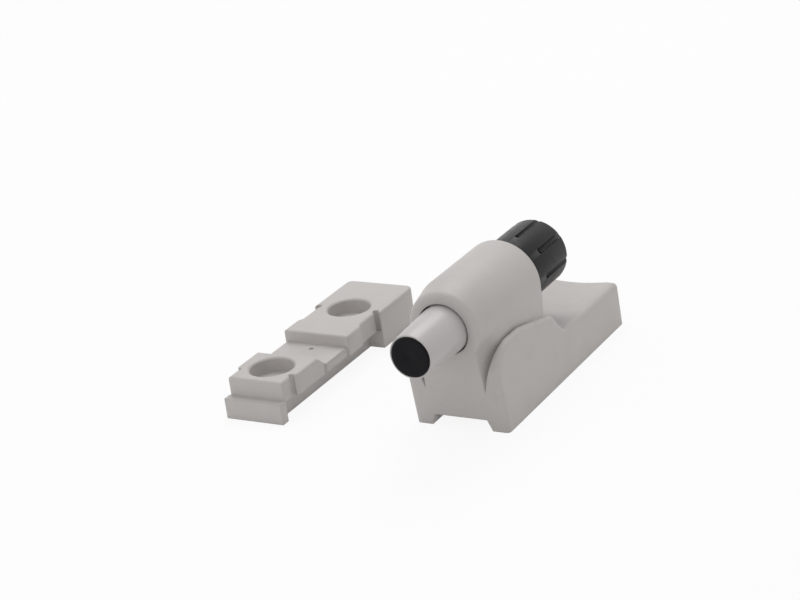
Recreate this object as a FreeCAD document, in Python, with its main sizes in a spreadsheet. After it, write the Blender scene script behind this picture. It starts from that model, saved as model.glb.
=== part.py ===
import FreeCAD, Part
import math
import os
import Sketcher
from FreeCAD import Placement, Rotation, Vector

# Soft close damper for a cabinet door, with the base plate that it clips on lying beside it.
# Frame: X across, Y along the damper from its nose to its knob, Z up. Lengths in millimetres.
# The origin is the middle of the underside of the whole set.
# Each damper piece is drawn with y = 0 at the front edge of the housing's feet, and turned pieces
# are drawn about their own axis, which is then set at the axis height.

os.makedirs("parts", exist_ok=True)
doc = FreeCAD.newDocument("soft_close_damper")
sheet = doc.addObject("Spreadsheet::Sheet", "Sizes")


class Size:
    """A length with its formula, so that the sketch it goes into stays bound to the sheet."""

    def __init__(self, value, text):
        self.value = float(value)
        self.text = text

    def joined(self, other, sign, value):
        text = other.text if isinstance(other, Size) else repr(other)
        return Size(value, "(" + self.text + " " + sign + " " + text + ")")

    def __add__(self, other):
        return self.joined(other, "+", self.value + number(other))

    def __sub__(self, other):
        return self.joined(other, "-", self.value - number(other))

    def __mul__(self, other):
        return self.joined(other, "*", self.value * number(other))

    def __truediv__(self, other):
        return self.joined(other, "/", self.value / number(other))

    def __neg__(self):
        return Size(-self.value, "(0 - " + self.text + ")")


def number(size):
    return size.value if isinstance(size, Size) else float(size)


def size_of(name, value):
    """Writes a driving dimension into the sheet under its name."""
    size_of.row += 1
    sheet.set("A%d" % size_of.row, name)
    sheet.set("B%d" % size_of.row, str(value))
    sheet.setAlias("B%d" % size_of.row, name)
    return Size(value, "Sizes." + name)


size_of.row = 0

# Layout of the set.
plate_spacing = size_of("plate_spacing", 44.5)
plate_lead = size_of("plate_lead", 8.4)

# Clearances: turning or sliding fits, seated pieces, and the clip between housing and plate.
# A cut runs past the face that it opens by overcut.
running_gap = size_of("running_gap", 0.05)
seat_gap = size_of("seat_gap", 0.02)
clip_gap = size_of("clip_gap", 0.2)
free_gap = size_of("free_gap", 0.4)
overcut = size_of("overcut", 1.0)

# Base plate.
screw_spacing = size_of("screw_spacing", 32.0)
screw_hole_radius = size_of("screw_hole_radius", 2.25)
screw_head_radius = size_of("screw_head_radius", 4.8)
screw_head_depth = size_of("screw_head_depth", 2.8)
screw_inset = size_of("screw_inset", 8.8)
plate_length = size_of("plate_length", 55.2)
plate_height = size_of("plate_height", 8.6)
plate_edge = size_of("plate_edge", 0.5)
seat_rim = size_of("seat_rim", 0.35)
foot_width = size_of("foot_width", 13.9)
foot_length = size_of("foot_length", 2.1)
foot_height = size_of("foot_height", 4.5)
foot_blend = size_of("foot_blend", 1.6)
web_width = size_of("web_width", 9.6)
flange_underside = size_of("flange_underside", 4.0)
front_block_width = size_of("front_block_width", 13.1)
front_block_end = size_of("front_block_end", 14.6)
trough_width = size_of("trough_width", 15.0)
trough_height = size_of("trough_height", 6.0)
trough_slope = size_of("trough_slope", 3.0)
rear_block_start = size_of("rear_block_start", 26.5)
rear_block_width = size_of("rear_block_width", 16.0)
waist_start = size_of("waist_start", 32.0)
waist_width = size_of("waist_width", 14.6)
head_start = size_of("head_start", 40.0)
head_width = size_of("head_width", 16.8)
notch_width = size_of("notch_width", 1.2)
front_notch_place = size_of("front_notch_place", 6.0)
middle_notch_place = size_of("middle_notch_place", 17.4)
head_notch_radius = size_of("head_notch_radius", 0.72)
dimple_radius = size_of("dimple_radius", 0.5)
dimple_depth = size_of("dimple_depth", 0.5)
dimple_offset = size_of("dimple_offset", 2.4)

# Housing.
housing_width = size_of("housing_width", 21.0)
housing_length = size_of("housing_length", 55.8)
axis_height = size_of("axis_height", 22.6)
front_rake = size_of("front_rake", 3.0)
rear_rake = size_of("rear_rake", 0.9)
wing_height = size_of("wing_height", 18.6)
wing_round = size_of("wing_round", 6.5)
wing_level = size_of("wing_level", 9.5)
wing_end_height = size_of("wing_end_height", 15.4)
wing_edge = size_of("wing_edge", 0.9)
deck_height = size_of("deck_height", 10.1)
deck_start = size_of("deck_start", 28.2)
valley_round = size_of("valley_round", 2.4)
wing_end_round = size_of("wing_end_round", 1.4)
deck_end_round = size_of("deck_end_round", 1.4)
deck_dish = size_of("deck_dish", 1.1)
deck_rim = size_of("deck_rim", 1.6)
rear_corner = size_of("rear_corner", 1.6)
tower_radius = size_of("tower_radius", 8.8)
tower_front_radius = size_of("tower_front_radius", 7.6)
tower_rear = size_of("tower_rear", 23.4)
tongue_half_width = size_of("tongue_half_width", 5.9)
tower_shoulder = size_of("tower_shoulder", 3.4)
tower_foot_height = size_of("tower_foot_height", 5.4)
crease_width = size_of("crease_width", 0.55)
arch_round = size_of("arch_round", 1.5)
arch_edge = size_of("arch_edge", 0.5)
core_half_width = size_of("core_half_width", 6.4)
core_start = size_of("core_start", 4.4)
core_middle = size_of("core_middle", 12.9)
core_end = size_of("core_end", 21.4)
core_rib = size_of("core_rib", 1.4)
core_roof = size_of("core_roof", 1.8)
front_gap_height = size_of("front_gap_height", 2.5)
skirt_lip_half_width = size_of("skirt_lip_half_width", 5.5)
skirt_mouth_half_width = size_of("skirt_mouth_half_width", 6.8)
bore_radius = size_of("bore_radius", 6.0)
nose_hole_radius = size_of("nose_hole_radius", 5.5)
bore_start = size_of("bore_start", 0.6)

# Nose sleeve and bumper.
nose_reach = size_of("nose_reach", 13.0)
nose_tip_radius = size_of("nose_tip_radius", 4.55)
nose_radius = size_of("nose_radius", 5.2)
sleeve_bore_radius = size_of("sleeve_bore_radius", 3.8)
sleeve_flange_radius = size_of("sleeve_flange_radius", 5.7)
sleeve_flange_length = size_of("sleeve_flange_length", 1.2)
sleeve_floor = size_of("sleeve_floor", 1.5)
bumper_radius = size_of("bumper_radius", 4.15)
bumper_length = size_of("bumper_length", 2.7)
bumper_proud = size_of("bumper_proud", 0.4)
bumper_edge = size_of("bumper_edge", 0.35)
guide_ring_length = size_of("guide_ring_length", 2.0)
stroke = size_of("stroke", 10.0)

# Oil cylinder and what is in it.
cylinder_radius = size_of("cylinder_radius", 3.5)
chamber_radius = size_of("chamber_radius", 2.7)
cylinder_tail = size_of("cylinder_tail", 0.8)
rod_radius = size_of("rod_radius", 0.9)
rod_socket_depth = size_of("rod_socket_depth", 1.0)
snap_ring_length = size_of("snap_ring_length", 0.5)
rod_guide_length = size_of("rod_guide_length", 2.6)
rod_seal_length = size_of("rod_seal_length", 1.3)
foam_length = size_of("foam_length", 3.8)
foam_bore_radius = size_of("foam_bore_radius", 1.3)
washer_length = size_of("washer_length", 0.5)
piston_radius = size_of("piston_radius", 2.5)
piston_length = size_of("piston_length", 1.7)
piston_ring_depth = size_of("piston_ring_depth", 0.45)
piston_ring_length = size_of("piston_ring_length", 0.8)
valve_disc_radius = size_of("valve_disc_radius", 2.3)
valve_disc_length = size_of("valve_disc_length", 0.2)
retainer_radius = size_of("retainer_radius", 1.7)
retainer_length = size_of("retainer_length", 0.7)
end_plug_length = size_of("end_plug_length", 3.0)
seal_section = size_of("seal_section", 0.27)

# Return spring.
spring_wire = size_of("spring_wire", 0.45)
spring_radius = size_of("spring_radius", 4.7)
spring_seat_length = size_of("spring_seat_length", 1.4)
spring_length = size_of("spring_length", 15.0)

# Rear gland, knob and spindle.
stub_radius = size_of("stub_radius", 4.6)
stub_length = size_of("stub_length", 7.6)
spindle_radius = size_of("spindle_radius", 1.2)
clip_groove_depth = size_of("clip_groove_depth", 0.5)
clip_place = size_of("clip_place", 6.2)
clip_thickness = size_of("clip_thickness", 0.6)
clip_radius = size_of("clip_radius", 5.2)
friction_ring_place = size_of("friction_ring_place", 3.0)
knob_radius = size_of("knob_radius", 7.15)
knob_length = size_of("knob_length", 16.2)
knob_bearing_length = size_of("knob_bearing_length", 5.4)
knob_cavity_radius = size_of("knob_cavity_radius", 5.6)
knob_hub_length = size_of("knob_hub_length", 2.2)
knob_cap_length = size_of("knob_cap_length", 1.7)
knob_edge = size_of("knob_edge", 1.3)
flute_radius = size_of("flute_radius", 0.75)
flute_proud = size_of("flute_proud", 0.22)
flute_start = size_of("flute_start", 6.6)
flute_phase = size_of("flute_phase", 9.5)

# How near an edge has to be to the place that it is picked by.
PICK = 0.01

FLUTE_COUNT = 8
KNOB_EDGE_STEPS = 3
SPRING_TURNS = 6
SPRING_STEPS = 10

# Places that several pieces share, worked out from the sizes above.
housing_half = housing_width / 2
plate_x = -(plate_spacing + housing_half - head_width / 2) / 2
damper_x = plate_x + plate_spacing
nose_front = -(front_rake + nose_reach)
damper_y = -(nose_front - bumper_proud + housing_length) / 2
plate_y = damper_y - plate_lead
bumper_front = nose_front - bumper_proud
bumper_rear = bumper_front + bumper_length
floor_rear = bumper_rear + sleeve_floor
guide_ring_rear = bore_start + guide_ring_length
flange_front = guide_ring_rear + free_gap
sleeve_rear = flange_front + sleeve_flange_length
spring_seat_front = sleeve_rear + spring_length
gland_front = spring_seat_front + spring_seat_length
knob_front = tower_rear + free_gap
knob_rear = knob_front + knob_length
stub_rear = tower_rear + stub_length

# The cylinder's front stays clear of the sleeve's floor at full stroke.
cylinder_front = floor_rear + stroke + free_gap
cylinder_rear = tower_rear + cylinder_tail
snap_ring_front = cylinder_front + snap_ring_length
rod_guide_front = snap_ring_front + snap_ring_length
rod_seal_front = rod_guide_front + rod_guide_length
foam_front = rod_seal_front + rod_seal_length
washer_front = foam_front + foam_length
piston_front = washer_front + washer_length + free_gap
valve_disc_front = piston_front + piston_length
retainer_front = valve_disc_front + valve_disc_length
rod_rear = retainer_front + retainer_length
plug_front = rod_rear + stroke + free_gap
plug_rear = plug_front + end_plug_length

# The plate's top stands this far below its own height when the housing rests on the foot.
seat_rise = foot_height + clip_gap / 2 - front_gap_height
channel_ceiling = plate_height + clip_gap - seat_rise
lip_top = flange_underside - clip_gap - seat_rise
lip_run_half = rear_block_width / 2 + clip_gap
head_pocket_half = head_width / 2 + clip_gap


def bind(thing, field, size):
    """Sets a field of a feature or sketch and ties it to the sheet."""
    if isinstance(size, Size):
        thing.setExpression(field, size.text)
    return number(size)


def new_piece(label, turned=True, plate=False):
    """A body with its Label and its place in the set."""
    body = doc.addObject("PartDesign::Body", label)
    body.Label = label
    x = plate_x if plate else damper_x
    y = plate_y if plate else damper_y
    z = axis_height if turned else Size(0.0, "0")
    body.Placement = Placement(Vector(x.value, y.value, z.value), Rotation())
    body.setExpression(".Placement.Base.x", x.text)
    body.setExpression(".Placement.Base.y", y.text)
    body.setExpression(".Placement.Base.z", z.text)
    return body


def origin_feature(body, role):
    return [f for f in body.Origin.OriginFeatures if f.Role == role][0]


def new_sketch(body, name, plane, offset=None):
    """A sketch on an origin plane of its own body, moved along the plane's normal by offset."""
    sketch = body.newObject("Sketcher::SketchObject", name)
    sketch.AttachmentSupport = [(origin_feature(body, plane), "")]
    sketch.MapMode = "FlatFace"
    if offset is not None:
        sketch.AttachmentOffset = Placement(Vector(0, 0, number(offset)), Rotation())
        bind(sketch, ".AttachmentOffset.Base.z", offset)
    return sketch


def pin_point(sketch, curve, end, across, up):
    """Fixes one point of a curve by its two distances from the sketch's origin."""
    for kind, size, axis in (("DistanceX", across, -2), ("DistanceY", up, -1)):
        if number(size) == 0.0 and not isinstance(size, Size):
            sketch.addConstraint(Sketcher.Constraint("PointOnObject", curve, end, axis))
            continue
        place = sketch.addConstraint(
            Sketcher.Constraint(kind, -1, 1, curve, end, number(size)))
        bind(sketch, "Constraints[%d]" % place, size)


def add_outline(sketch, corners):
    """A closed outline of straight edges through corners given as (across, up)."""
    points = [Vector(number(a), number(u), 0) for a, u in corners]
    first = sketch.GeometryCount
    count = len(points)
    for i in range(count):
        sketch.addGeometry(Part.LineSegment(points[i], points[(i + 1) % count]))
    for i in range(count):
        sketch.addConstraint(
            Sketcher.Constraint("Coincident", first + i, 2, first + (i + 1) % count, 1))
    for i, (across, up) in enumerate(corners):
        pin_point(sketch, first + i, 1, across, up)


def add_circle(sketch, across, up, radius):
    centre = Vector(number(across), number(up), 0)
    curve = sketch.addGeometry(Part.Circle(centre, Vector(0, 0, 1), number(radius)))
    place = sketch.addConstraint(Sketcher.Constraint("Radius", curve, number(radius)))
    bind(sketch, "Constraints[%d]" % place, radius)
    pin_point(sketch, curve, 3, across, up)


def outline_sketch(body, name, plane, corners, offset=None):
    sketch = new_sketch(body, name, plane, offset)
    add_outline(sketch, corners)
    return sketch


def circle_sketch(body, name, plane, across, up, radius, offset=None):
    sketch = new_sketch(body, name, plane, offset)
    add_circle(sketch, across, up, radius)
    return sketch


def extrude(body, kind, name, sketch, length, backward=False, both_ways=False):
    """A Pad or Pocket of a sketch. It is checked to have added or taken material."""
    before = body.Shape.Volume if body.Tip else 0.0
    feature = body.newObject("PartDesign::" + kind, name)
    feature.Profile = sketch
    feature.Reversed = backward
    feature.SideType = "Symmetric" if both_ways else "One side"
    feature.Length = bind(feature, "Length", length)
    doc.recompute()
    check_change(body, name, before, kind == "Pad")
    return feature


def check_change(body, name, before, adds):
    change = body.Shape.Volume - before
    if (change <= 0) if adds else (change >= 0):
        raise RuntimeError(body.Label + ": " + name + " changed nothing, " + str(change))


def turn(body, kind, name, corners):
    """A Revolution or Groove of a half section about the damper's axis.
    The corners are (distance along Y, radius)."""
    before = body.Shape.Volume if body.Tip else 0.0
    sketch = outline_sketch(body, name + "_section", "YZ_Plane", corners)
    feature = body.newObject("PartDesign::" + kind, name)
    feature.Profile = sketch
    feature.ReferenceAxis = (sketch, ["H_Axis"])
    feature.Angle = 360
    doc.recompute()
    check_change(body, name, before, kind == "Revolution")
    return feature


def edges_where(body, wanted):
    """Names of the body's edges that the test picks by their box, in the body's own frame."""
    shape = body.Tip.Shape
    names = []
    for i, edge in enumerate(shape.Edges):
        if wanted(edge, edge.BoundBox):
            names.append("Edge%d" % (i + 1))
    return names


def dress(body, kind, name, radius, wanted):
    """A Fillet or Chamfer on the picked edges of the body so far."""
    edges = edges_where(body, wanted)
    if not edges:
        raise RuntimeError(body.Label + ": " + name + " finds no edge")
    base = body.Tip
    feature = body.newObject("PartDesign::" + kind, name)
    feature.Base = (base, edges)
    field = "Radius" if kind == "Fillet" else "Size"
    setattr(feature, field, bind(feature, field, radius))
    doc.recompute()
    if not feature.isValid():
        raise RuntimeError(body.Label + ": " + name + " has failed")
    return feature


def near(a, b):
    return abs(a - number(b)) < PICK


def turned_ring(label, front, rear, inner, outer):
    """A plain ring about the axis: a washer, bush, seal or disc."""
    body = new_piece(label)
    turn(body, "Revolution", "ring",
         [(front, inner), (rear, inner), (rear, outer), (front, outer)])
    return body


def six_corners(middle, height, half):
    """A six-sided section, flat above and below, about a point given as (along, height)."""
    return [
        (middle - half, height),
        (middle - half / 2, height + half),
        (middle + half / 2, height + half),
        (middle + half, height),
        (middle + half / 2, height - half),
        (middle - half / 2, height - half),
    ]


def seal_ring(label, middle, ring_radius):
    """A seal about the axis: its section's middle is at ring_radius."""
    body = new_piece(label)
    turn(body, "Revolution", "ring", six_corners(middle, ring_radius, seal_section))
    return body


def plate_outline():
    """The plate's top view, one side: (half width, distance from the foot's front)."""
    side = [
        (front_block_width / 2, foot_length),
        (front_block_width / 2, front_notch_place),
        (trough_width / 2, front_notch_place + notch_width),
        (trough_width / 2, rear_block_start),
        (rear_block_width / 2, rear_block_start),
        (rear_block_width / 2, waist_start),
        (waist_width / 2, waist_start + notch_width),
        (waist_width / 2, head_start),
        (head_width / 2, head_start),
        (head_width / 2, plate_length),
    ]
    return side + [(-half, along) for half, along in reversed(side)]


def rectangle(half_width, start, end):
    return [(half_width, start), (half_width, end), (-half_width, end), (-half_width, start)]


def make_base_plate():
    """The moulded rail that is screwed down: a flange on a narrow web, a foot and a head."""
    body = new_piece("base_plate", turned=False, plate=True)
    flange = outline_sketch(body, "flange_outline", "XY_Plane", plate_outline(), flange_underside)
    extrude(body, "Pad", "flange", flange, plate_height - flange_underside)
    web = outline_sketch(body, "web_outline", "XY_Plane",
                         rectangle(web_width / 2, foot_length, head_start))
    extrude(body, "Pad", "web", web, flange_underside)
    foot = outline_sketch(body, "foot_outline", "XY_Plane",
                          rectangle(foot_width / 2, Size(0.0, "0"), foot_length))
    extrude(body, "Pad", "foot", foot, foot_height)
    head = outline_sketch(body, "head_outline", "XY_Plane",
                          rectangle(head_width / 2, head_start, plate_length))
    extrude(body, "Pad", "head", head, flange_underside)
    dress(body, "Fillet", "head_corners", rear_corner, lambda edge, box: (
        near(box.YMin, plate_length) and near(box.YMax, plate_length)
        and box.ZLength > 1.0 and box.XLength < 0.01))
    trough = outline_sketch(body, "trough_side", "YZ_Plane", [
        (front_block_end, plate_height + overcut),
        (front_block_end, plate_height),
        (front_block_end + trough_slope, trough_height),
        (rear_block_start, trough_height),
        (rear_block_start, plate_height + overcut),
    ])
    extrude(body, "Pocket", "trough", trough, head_width * 2, both_ways=True)
    dress(body, "Fillet", "top_edges", plate_edge, lambda edge, box: (
        near(box.ZMin, plate_height) and near(box.ZMax, plate_height)))
    dress(body, "Fillet", "foot_blends", foot_blend, lambda edge, box: (
        near(box.YMin, foot_length) and near(box.YMax, foot_length) and box.ZMin < 0.01
        and near(box.ZMax, flange_underside) and near(abs(box.XMin), web_width / 2)))
    for name, along, radius, width in (
            ("front_notch", front_notch_place, notch_width / 2, front_block_width),
            ("middle_notch", middle_notch_place, notch_width / 2, trough_width),
            ("head_notch", head_start, head_notch_radius, waist_width)):
        notch = new_sketch(body, name + "_outline", "XY_Plane", plate_height)
        for side in (width / 2, -(width / 2)):
            add_circle(notch, side, along, radius)
        extrude(body, "Pocket", name, notch, plate_height - flange_underside)
    heads = new_sketch(body, "screw_heads", "XY_Plane", plate_height)
    holes = new_sketch(body, "screw_holes", "XY_Plane", plate_height)
    for along in (screw_inset, screw_inset + screw_spacing):
        add_circle(heads, 0.0, along, screw_head_radius)
        add_circle(holes, 0.0, along, screw_hole_radius)
    extrude(body, "Pocket", "head_seats", heads, screw_head_depth)
    extrude(body, "Pocket", "screw_bores", holes, plate_height)
    dimple = circle_sketch(body, "dimple_outline", "XY_Plane", 0.0,
                           rear_block_start - dimple_offset, dimple_radius, trough_height)
    extrude(body, "Pocket", "dimple", dimple, dimple_depth)
    dress(body, "Chamfer", "seat_rims", seat_rim, lambda edge, box: (
        near(box.ZMin, plate_height) and near(box.ZMax, plate_height)
        and near(box.XLength, screw_head_radius * 2)))
    return body


def make_housing():
    """The moulded housing: side wings, an arched tower for the cylinder, and skirts that clip."""
    body = new_piece("housing", turned=False)
    front_top = -(front_rake * wing_height / axis_height)
    deck_end = housing_length - rear_rake
    ground = Size(0.0, "0")
    side = outline_sketch(body, "side_view", "YZ_Plane", [
        (ground, ground),
        (front_top, wing_height),
        (wing_level, wing_height),
        (tower_rear, wing_end_height),
        (deck_start, deck_height),
        (deck_end, deck_height),
        (housing_length, ground),
    ])
    extrude(body, "Pad", "block", side, housing_width, both_ways=True)
    dress(body, "Fillet", "wing_front", wing_round, lambda edge, box: (
        near(box.ZMin, wing_height) and near(box.YMin, front_top) and box.YLength < 0.01))
    for name, radius, along, height in (
            ("valley", valley_round, deck_start, deck_height),
            ("wing_end", wing_end_round, tower_rear, wing_end_height),
            ("deck_end", deck_end_round, deck_end, deck_height)):
        dress(body, "Fillet", name, radius, lambda edge, box: (
            near(box.YMin, along) and near(box.YMax, along) and near(box.ZMin, height)))
    dress(body, "Fillet", "outer_edges", wing_edge, lambda edge, box: (
        near(abs(box.XMin), housing_half) and box.XLength < 0.01 and box.ZMax > 0.1))

    ahead = front_rake + overcut
    crease_half = tower_radius + crease_width
    saddle = outline_sketch(body, "saddle_front", "XZ_Plane", [
        (tongue_half_width, tower_foot_height),
        (crease_half, wing_height),
        (crease_half, axis_height),
        (-crease_half, axis_height),
        (-crease_half, wing_height),
        (-tongue_half_width, tower_foot_height),
    ], ahead)
    extrude(body, "Pocket", "saddle", saddle, ahead + tower_rear)

    tower_length = tower_rear - tower_shoulder
    tower_wall = outline_sketch(body, "tower_wall_front", "XZ_Plane",
                                rectangle(tower_radius, tower_foot_height, axis_height),
                                -tower_shoulder)
    extrude(body, "Pad", "tower_wall", tower_wall, tower_length, backward=True)
    arch = circle_sketch(body, "arch_front", "XZ_Plane", 0.0, axis_height, tower_radius,
                         -tower_shoulder)
    extrude(body, "Pad", "arch", arch, tower_length, backward=True)
    shoulder_front = circle_sketch(body, "shoulder_front", "XZ_Plane", 0.0, axis_height,
                                   tower_front_radius, front_rake)
    shoulder_rear = circle_sketch(body, "shoulder_rear", "XZ_Plane", 0.0, axis_height,
                                  tower_radius, -tower_shoulder)
    add_loft(body, "shoulder", shoulder_front, shoulder_rear)
    dress(body, "Fillet", "arch_front_edge", arch_round, lambda edge, box: (
        near(box.YMin, -front_rake) and near(box.YMax, -front_rake)))
    tongue_front = outline_sketch(body, "tongue_front", "XZ_Plane",
                                  rectangle(tongue_half_width, tower_foot_height, axis_height),
                                  front_rake)
    tongue_rear = outline_sketch(body, "tongue_rear", "XZ_Plane",
                                 rectangle(tower_radius, tower_foot_height, axis_height),
                                 -tower_shoulder)
    add_loft(body, "tongue", tongue_front, tongue_rear)
    raked = outline_sketch(body, "front_rake_side", "YZ_Plane", [
        (ground, ground),
        (-front_rake, axis_height),
        (-ahead, axis_height),
        (-ahead, ground),
    ])
    extrude(body, "Pocket", "raked_front", raked, housing_width, both_ways=True)
    dress(body, "Chamfer", "arch_rear_edge", arch_edge, lambda edge, box: (
        near(box.YMin, tower_rear) and near(box.YMax, tower_rear)
        and near(box.ZMax, axis_height + tower_radius)))

    deck = new_sketch(body, "deck_rear", "XZ_Plane", -housing_length)
    add_dish(deck, housing_half - deck_rim, deck_height, axis_height, deck_dish)
    extrude(body, "Pocket", "deck", deck, housing_length - tower_rear, backward=True)
    bore = circle_sketch(body, "bore_rear", "XZ_Plane", 0.0, axis_height, bore_radius, -tower_rear)
    extrude(body, "Pocket", "bore", bore, tower_rear - bore_start, backward=True)
    mouth = circle_sketch(body, "nose_hole_front", "XZ_Plane", 0.0, axis_height, nose_hole_radius,
                          ahead)
    extrude(body, "Pocket", "nose_hole", mouth, ahead + bore_start + overcut)
    cut_channel(body, ahead)
    return body


def add_loft(body, name, front, rear):
    """A ruled solid between two sketches, added to the body."""
    before = body.Shape.Volume
    loft = body.newObject("PartDesign::AdditiveLoft", name)
    loft.Profile = front
    loft.Sections = [rear]
    loft.Ruled = True
    doc.recompute()
    check_change(body, name, before, True)


def add_dish(sketch, half_width, level, top, sag):
    """An outline that is open air above a shallow round trough between two rims."""
    radius = (half_width * half_width + sag * sag) / (sag * 2)
    left = Vector(-number(half_width), number(level), 0)
    right = Vector(number(half_width), number(level), 0)
    low = Vector(0, number(level) - number(sag), 0)
    high_left = Vector(left.x, number(top), 0)
    high_right = Vector(right.x, number(top), 0)
    arc = sketch.addGeometry(Part.Arc(left, low, right))
    corners = [right, high_right, high_left, left]
    for i in range(3):
        sketch.addGeometry(Part.LineSegment(corners[i], corners[i + 1]))
    sketch.addConstraint(Sketcher.Constraint("Coincident", arc, 2, arc + 1, 1))
    sketch.addConstraint(Sketcher.Constraint("Coincident", arc + 1, 2, arc + 2, 1))
    sketch.addConstraint(Sketcher.Constraint("Coincident", arc + 2, 2, arc + 3, 1))
    sketch.addConstraint(Sketcher.Constraint("Coincident", arc + 3, 2, arc, 1))
    pin_point(sketch, arc + 1, 1, half_width, level)
    pin_point(sketch, arc + 2, 1, half_width, top)
    pin_point(sketch, arc + 3, 1, -half_width, top)
    pin_point(sketch, arc, 1, -half_width, level)
    place = sketch.addConstraint(Sketcher.Constraint("Radius", arc, number(radius)))
    bind(sketch, "Constraints[%d]" % place, radius)


def cut_channel(body, ahead):
    """The hollow below that takes the base plate, with the lips that clip under its flange."""
    wall = foot_length - clip_gap
    low = Size(0.0, "0")
    front_gap = outline_sketch(body, "front_gap_front", "XZ_Plane", [
        (skirt_mouth_half_width, low),
        (tongue_half_width, front_gap_height),
        (-tongue_half_width, front_gap_height),
        (-skirt_mouth_half_width, low),
    ], ahead)
    extrude(body, "Pocket", "front_gap", front_gap, ahead + foot_length)
    mouth = outline_sketch(body, "mouth_front", "XZ_Plane", [
        (skirt_mouth_half_width, low),
        (skirt_lip_half_width, lip_top),
        (skirt_lip_half_width, lip_top + clip_gap),
        (-skirt_lip_half_width, lip_top + clip_gap),
        (-skirt_lip_half_width, lip_top),
        (-skirt_mouth_half_width, low),
    ], -wall)
    extrude(body, "Pocket", "mouth", mouth, head_start)
    run = outline_sketch(body, "run_front", "XZ_Plane",
                         rectangle(lip_run_half, lip_top, channel_ceiling), -wall)
    extrude(body, "Pocket", "run", run, head_start)
    pocket_start = head_start - clip_gap * 2
    pocket = outline_sketch(body, "head_pocket_front", "XZ_Plane",
                            rectangle(head_pocket_half, low, channel_ceiling), -pocket_start)
    extrude(body, "Pocket", "head_pocket", pocket, housing_length - pocket_start)
    cores = new_sketch(body, "core_outlines", "XY_Plane", channel_ceiling)
    add_outline(cores, rectangle(core_half_width, core_start, core_middle - core_rib / 2))
    add_outline(cores, rectangle(core_half_width, core_middle + core_rib / 2, core_end))
    extrude(body, "Pocket", "cores", cores, axis_height - bore_radius - core_roof - channel_ceiling,
            backward=True)


def make_nose():
    """The sleeve that the door pushes, and the pad in its tip."""
    body = new_piece("nose_sleeve")
    taper_end = -front_rake
    turn(body, "Revolution", "sleeve", [
        (nose_front, bumper_radius + seat_gap),
        (nose_front, nose_tip_radius),
        (taper_end, nose_radius),
        (flange_front, nose_radius),
        (flange_front, sleeve_flange_radius),
        (sleeve_rear, sleeve_flange_radius),
        (sleeve_rear, sleeve_bore_radius),
        (floor_rear, sleeve_bore_radius),
        (floor_rear, rod_radius),
        (floor_rear - rod_socket_depth, rod_radius),
        (floor_rear - rod_socket_depth, Size(0.0, "0")),
        (bumper_rear, Size(0.0, "0")),
        (bumper_rear, bumper_radius + seat_gap),
    ])
    dress(body, "Chamfer", "tip_edge", seat_rim / 2, lambda edge, box: (
        near(box.YMin, nose_front) and near(box.YMax, nose_front)
        and near(box.XLength, nose_tip_radius * 2)))

    pad = new_piece("rubber_bumper")
    turn(pad, "Revolution", "pad", [
        (bumper_front, Size(0.0, "0")),
        (bumper_front, bumper_radius - bumper_edge),
        (bumper_front + bumper_edge, bumper_radius),
        (bumper_rear, bumper_radius),
        (bumper_rear, Size(0.0, "0")),
    ])
    turned_ring("nose_guide_ring", bore_start, guide_ring_rear, nose_radius + running_gap,
                bore_radius - seat_gap)


def make_cylinder():
    """The oil cylinder with its guide, seals and end plug."""
    wall_inside = chamber_radius - seat_gap
    turned_ring("damper_cylinder", cylinder_front, cylinder_rear, chamber_radius, cylinder_radius)
    turned_ring("guide_snap_ring", snap_ring_front, rod_guide_front,
                rod_radius + running_gap * 2, wall_inside)
    turned_ring("rod_guide", rod_guide_front, rod_seal_front, rod_radius + running_gap, wall_inside)
    turned_ring("rod_seal", rod_seal_front, foam_front, rod_radius + running_gap, wall_inside)
    turned_ring("accumulator_foam", foam_front, washer_front, foam_bore_radius, wall_inside)
    turned_ring("foam_washer", washer_front, washer_front + washer_length,
                rod_radius + running_gap * 2, wall_inside)

    plug = new_piece("end_plug")
    seal_front = plug_front + (end_plug_length - seal_section * 2) / 2 - running_gap
    seal_end = seal_front + seal_section * 2 + running_gap * 2
    groove = wall_inside - seal_section * 2
    turn(plug, "Revolution", "plug", [
        (plug_front, spindle_radius + running_gap),
        (plug_front, wall_inside),
        (seal_front, wall_inside),
        (seal_front, groove),
        (seal_end, groove),
        (seal_end, wall_inside),
        (plug_rear, wall_inside),
        (plug_rear, spindle_radius + running_gap),
    ])
    seal_ring("end_plug_seal", (seal_front + seal_end) / 2, wall_inside - seal_section)


def make_piston():
    """Rod, piston, ring, valve disc and the collar that keeps them on the rod."""
    rod = new_piece("piston_rod")
    turn(rod, "Revolution", "rod", [
        (floor_rear - rod_socket_depth, Size(0.0, "0")),
        (floor_rear - rod_socket_depth, rod_radius),
        (rod_rear, rod_radius),
        (rod_rear, Size(0.0, "0")),
    ])
    piston = new_piece("piston")
    ring_front = piston_front + (piston_length - piston_ring_length) / 2
    ring_rear = ring_front + piston_ring_length
    groove = piston_radius - piston_ring_depth
    turn(piston, "Revolution", "disc", [
        (piston_front, rod_radius),
        (piston_front, piston_radius),
        (ring_front, piston_radius),
        (ring_front, groove),
        (ring_rear, groove),
        (ring_rear, piston_radius),
        (valve_disc_front, piston_radius),
        (valve_disc_front, rod_radius),
    ])
    turned_ring("piston_ring", ring_front, ring_rear, groove, chamber_radius - running_gap)
    turned_ring("check_valve_disc", valve_disc_front, retainer_front, rod_radius,
                valve_disc_radius)
    turned_ring("piston_retainer", retainer_front, rod_rear, rod_radius, retainer_radius)


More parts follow.
